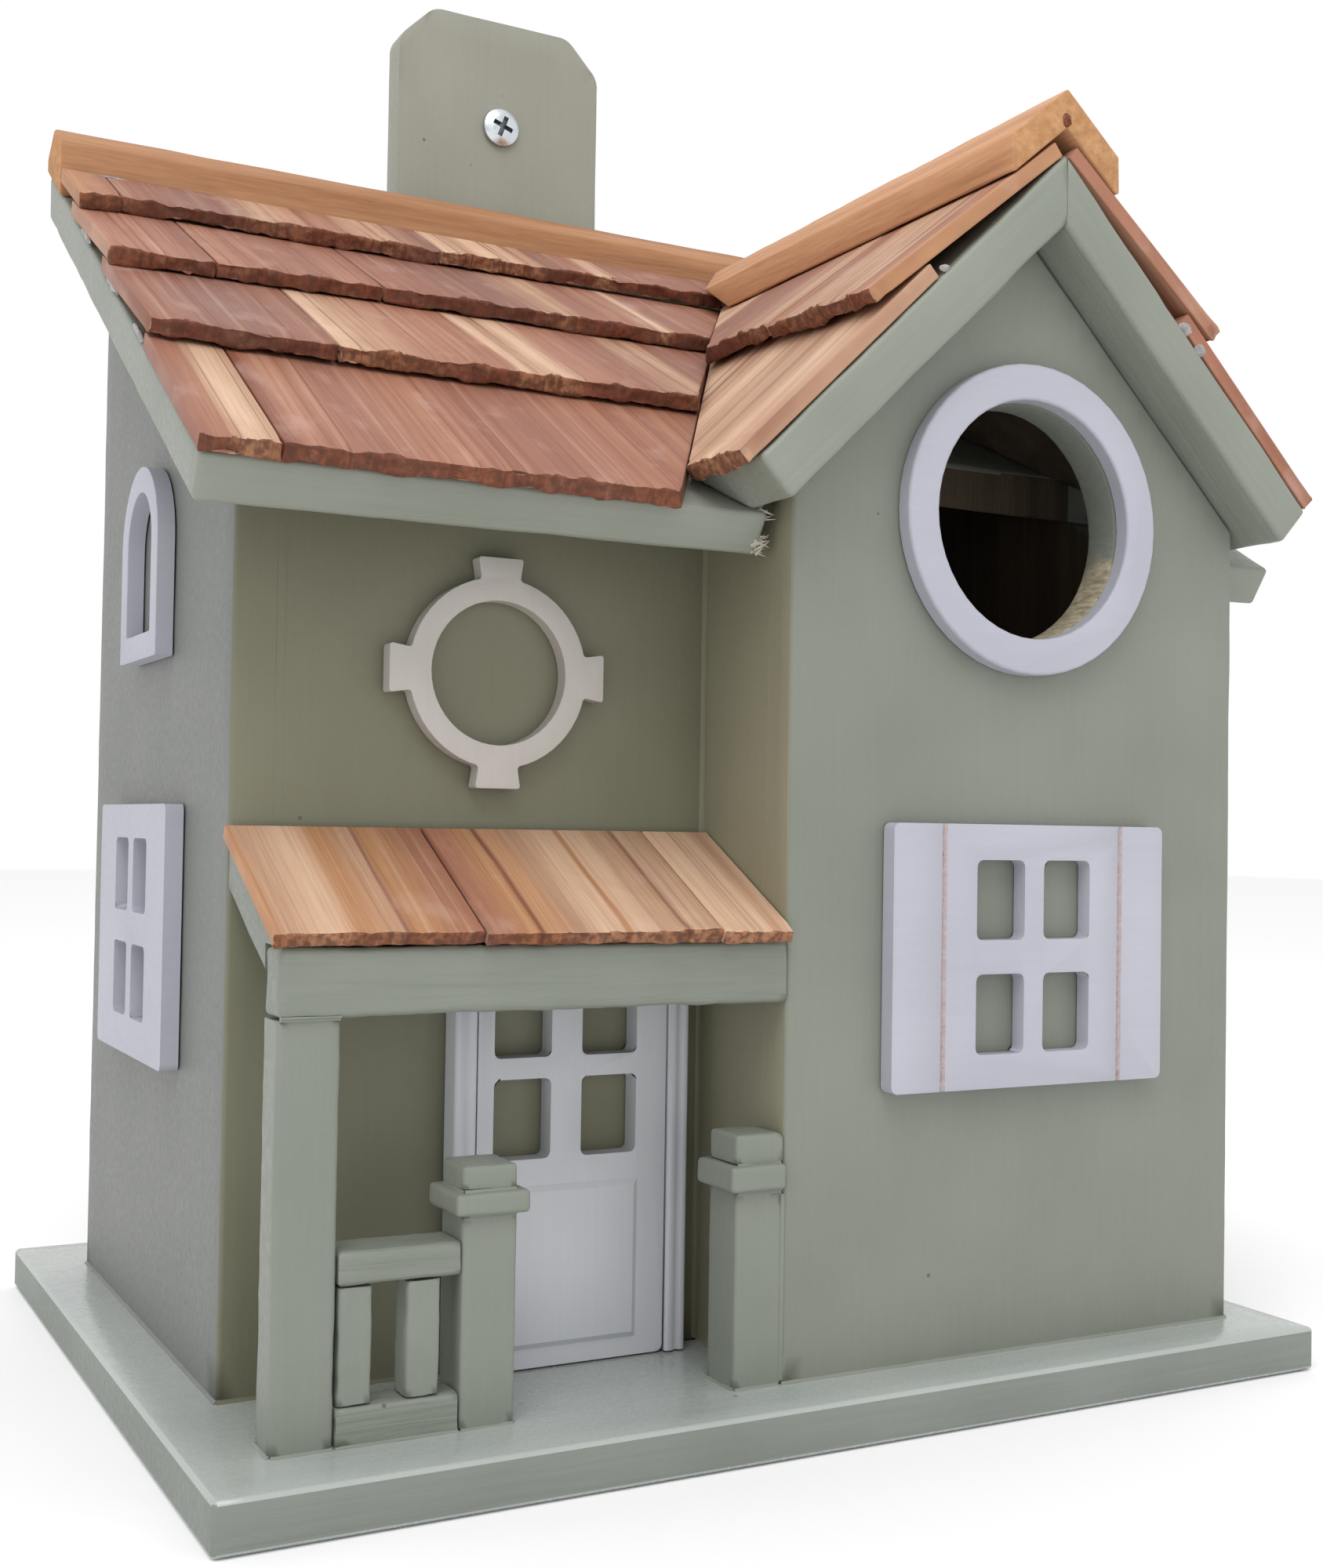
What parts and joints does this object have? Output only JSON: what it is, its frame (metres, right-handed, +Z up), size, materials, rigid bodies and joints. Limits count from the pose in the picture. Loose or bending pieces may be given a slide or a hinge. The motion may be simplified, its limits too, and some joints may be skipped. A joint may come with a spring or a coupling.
{
  "type": "birdhouse",
  "caption": "Painted cottage birdhouse with a lean-to shingled roof, a gabled wing holding a round entry hole, a small railed porch, a base board and a board to hang it by.",
  "frame": {"origin": "centre of the base board's underside", "axes": "+Z up, +Y towards the wall it hangs on, -Y is the front with the door and the entry hole, +X to the right seen from the front"},
  "size_m": [0.1895, 0.146, 0.2556],
  "materials": {
    "sage_paint": "brushed sage green paint on wood, satin, with chips at the edges",
    "white_paint": "cool white paint on thin wood, satin",
    "cedar": "bare red cedar, pink and tan streaks, rough sawn butts",
    "cap_wood": "bare orange-tan softwood, planed",
    "zinc_screw": "bright zinc plate"
  },
  "bodies": {
    "house": {"arched_window": "white_paint", "base_board": "sage_paint", "cover_keeper_screw": "zinc_screw", "cover_pivot_screw": "zinc_screw", "door_frame": "white_paint", "door_leaf": "white_paint", "entry_ring": "white_paint", "front_newel_cap": "sage_paint", "front_newel_collar": "sage_paint", "front_newel_post": "sage_paint", "hanging_board": "sage_paint", "hanging_screw": "zinc_screw", "left_wall": "sage_paint", "left_window": "white_paint", "main_course_1_shingle_1": "cedar", "main_course_1_shingle_2": "cedar", "main_course_1_shingle_3": "cedar", "main_course_1_shingle_right": "cedar", "main_course_2_shingle_1": "cedar", "main_course_2_shingle_2": "cedar", "main_course_2_shingle_3": "cedar", "main_course_2_shingle_right": "cedar", "main_course_3_shingle_1": "cedar", "main_course_3_shingle_2": "cedar", "main_course_3_shingle_right": "cedar", "main_course_4_shingle_1": "cedar", "main_course_4_shingle_2": "cedar", "main_front_wall": "sage_paint", "main_ridge_cap": "cap_wood", "main_roof_board": "sage_paint", "oculus_trim": "white_paint", "porch_baluster_1": "sage_paint", "porch_baluster_2": "sage_paint", "porch_beam": "sage_paint", "porch_bottom_rail": "sage_paint", "porch_post": "sage_paint", "porch_roof_board": "sage_paint", "porch_shingle_1": "cedar", "porch_shingle_2": "cedar", "porch_shingle_3": "cedar", "porch_top_rail": "sage_paint", "rear_wall": "sage_paint", "right_wall": "sage_paint", "wing_front_wall": "sage_paint", "wing_left_lower_shingle_1": "cedar", "wing_left_lower_shingle_2": "cedar", "wing_left_upper_shingle_1": "cedar", "wing_left_upper_shingle_2": "cedar", "wing_left_wall": "sage_paint", "wing_newel_cap": "sage_paint", "wing_newel_collar": "sage_paint", "wing_newel_post": "sage_paint", "wing_ridge_cap": "cap_wood", "wing_right_lower_shingle": "cedar", "wing_right_upper_shingle": "cedar", "wing_roof_board_left": "sage_paint", "wing_roof_board_right": "sage_paint", "wing_window": "white_paint"},
    "cover": {"cleanout_cover": "sage_paint"}
  },
  "joints": [
    {"name": "cover_swing", "type": "hinge", "parent": "house", "child": "cover", "pos_m": [-0.027, 0.0593, 0.027], "axis": [0, -1, 0], "range_deg": [0, 100]}
  ]
}
